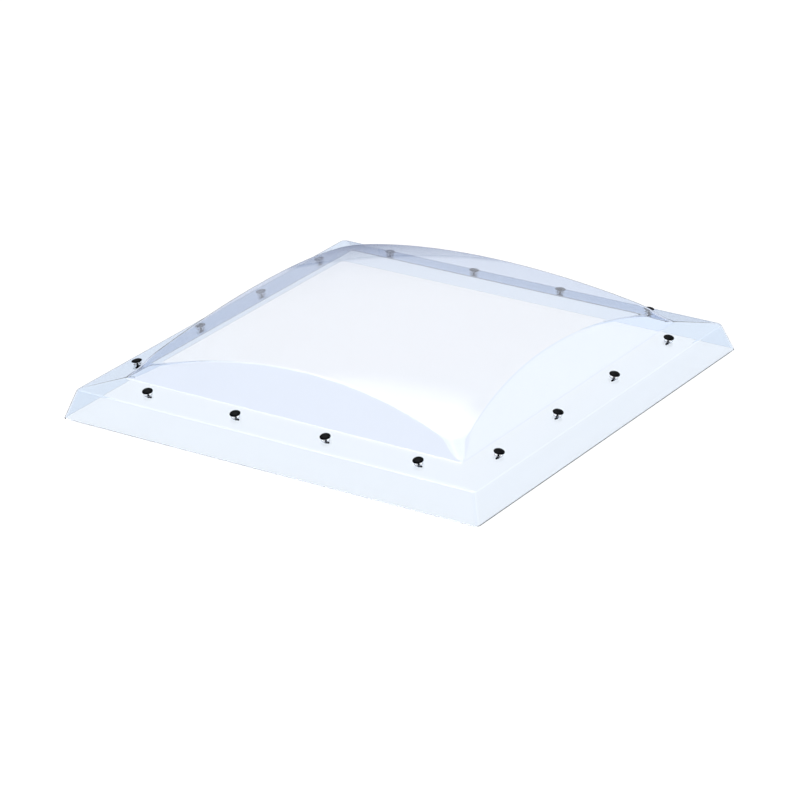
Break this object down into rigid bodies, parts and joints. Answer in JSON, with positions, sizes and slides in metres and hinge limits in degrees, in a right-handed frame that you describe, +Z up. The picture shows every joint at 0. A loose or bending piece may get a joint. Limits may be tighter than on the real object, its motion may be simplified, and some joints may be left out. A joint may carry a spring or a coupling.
{
  "type": "flat roof window dome cover",
  "caption": "Square clear formed dome cover for a flat roof window, with a skirt, a sloping flange and black quarter-turn knobs in soft grommets.",
  "frame": {"origin": "middle of the square cover, on the plane of its bottom rim", "axes": "+Z up through the crown, X and Y square to the sides"},
  "size_m": [1.12, 1.12, 0.2174],
  "materials": {
    "clear_sheet": "clear formed sheet, polished, faint blue cast",
    "grommet": "soft translucent grommet",
    "knob": "glossy black moulded plastic"
  },
  "bodies": {
    "cover": {"dome_sheet": "clear_sheet", "grommet_1": "grommet", "grommet_2": "grommet", "grommet_3": "grommet", "grommet_4": "grommet", "grommet_5": "grommet", "grommet_6": "grommet", "grommet_7": "grommet", "grommet_8": "grommet", "grommet_9": "grommet", "grommet_10": "grommet", "grommet_11": "grommet", "grommet_12": "grommet", "grommet_13": "grommet", "grommet_14": "grommet", "grommet_15": "grommet", "grommet_16": "grommet"},
    "knob_1": {"knob_1": "knob"},
    "knob_2": {"knob_2": "knob"},
    "knob_3": {"knob_3": "knob"},
    "knob_4": {"knob_4": "knob"},
    "knob_5": {"knob_5": "knob"},
    "knob_6": {"knob_6": "knob"},
    "knob_7": {"knob_7": "knob"},
    "knob_8": {"knob_8": "knob"},
    "knob_9": {"knob_9": "knob"},
    "knob_10": {"knob_10": "knob"},
    "knob_11": {"knob_11": "knob"},
    "knob_12": {"knob_12": "knob"},
    "knob_13": {"knob_13": "knob"},
    "knob_14": {"knob_14": "knob"},
    "knob_15": {"knob_15": "knob"},
    "knob_16": {"knob_16": "knob"}
  },
  "joints": [
    {"name": "knob_1_turn", "type": "hinge", "parent": "cover", "child": "knob_1", "pos_m": [-0.365, -0.49, 0.07699], "axis": [0, -0.2079, 0.9781], "range_deg": [-90, 0]},
    {"name": "knob_2_turn", "type": "hinge", "parent": "cover", "child": "knob_2", "pos_m": [-0.12167, -0.49, 0.07699], "axis": [0, -0.2079, 0.9781], "range_deg": [-90, 0]},
    {"name": "knob_3_turn", "type": "hinge", "parent": "cover", "child": "knob_3", "pos_m": [0.12167, -0.49, 0.07699], "axis": [0, -0.2079, 0.9781], "range_deg": [-90, 0]},
    {"name": "knob_4_turn", "type": "hinge", "parent": "cover", "child": "knob_4", "pos_m": [0.365, -0.49, 0.07699], "axis": [0, -0.2079, 0.9781], "range_deg": [-90, 0]},
    {"name": "knob_5_turn", "type": "hinge", "parent": "cover", "child": "knob_5", "pos_m": [0.49, -0.365, 0.07699], "axis": [0.2079, 0, 0.9781], "range_deg": [-90, 0]},
    {"name": "knob_6_turn", "type": "hinge", "parent": "cover", "child": "knob_6", "pos_m": [0.49, -0.12167, 0.07699], "axis": [0.2079, 0, 0.9781], "range_deg": [-90, 0]},
    {"name": "knob_7_turn", "type": "hinge", "parent": "cover", "child": "knob_7", "pos_m": [0.49, 0.12167, 0.07699], "axis": [0.2079, 0, 0.9781], "range_deg": [-90, 0]},
    {"name": "knob_8_turn", "type": "hinge", "parent": "cover", "child": "knob_8", "pos_m": [0.49, 0.365, 0.07699], "axis": [0.2079, 0, 0.9781], "range_deg": [-90, 0]},
    {"name": "knob_9_turn", "type": "hinge", "parent": "cover", "child": "knob_9", "pos_m": [0.365, 0.49, 0.07699], "axis": [0, 0.2079, 0.9781], "range_deg": [-90, 0]},
    {"name": "knob_10_turn", "type": "hinge", "parent": "cover", "child": "knob_10", "pos_m": [0.12167, 0.49, 0.07699], "axis": [0, 0.2079, 0.9781], "range_deg": [-90, 0]},
    {"name": "knob_11_turn", "type": "hinge", "parent": "cover", "child": "knob_11", "pos_m": [-0.12167, 0.49, 0.07699], "axis": [0, 0.2079, 0.9781], "range_deg": [-90, 0]},
    {"name": "knob_12_turn", "type": "hinge", "parent": "cover", "child": "knob_12", "pos_m": [-0.365, 0.49, 0.07699], "axis": [0, 0.2079, 0.9781], "range_deg": [-90, 0]},
    {"name": "knob_13_turn", "type": "hinge", "parent": "cover", "child": "knob_13", "pos_m": [-0.49, 0.365, 0.07699], "axis": [-0.2079, 0, 0.9781], "range_deg": [-90, 0]},
    {"name": "knob_14_turn", "type": "hinge", "parent": "cover", "child": "knob_14", "pos_m": [-0.49, 0.12167, 0.07699], "axis": [-0.2079, 0, 0.9781], "range_deg": [-90, 0]},
    {"name": "knob_15_turn", "type": "hinge", "parent": "cover", "child": "knob_15", "pos_m": [-0.49, -0.12167, 0.07699], "axis": [-0.2079, 0, 0.9781], "range_deg": [-90, 0]},
    {"name": "knob_16_turn", "type": "hinge", "parent": "cover", "child": "knob_16", "pos_m": [-0.49, -0.365, 0.07699], "axis": [-0.2079, 0, 0.9781], "range_deg": [-90, 0]}
  ]
}
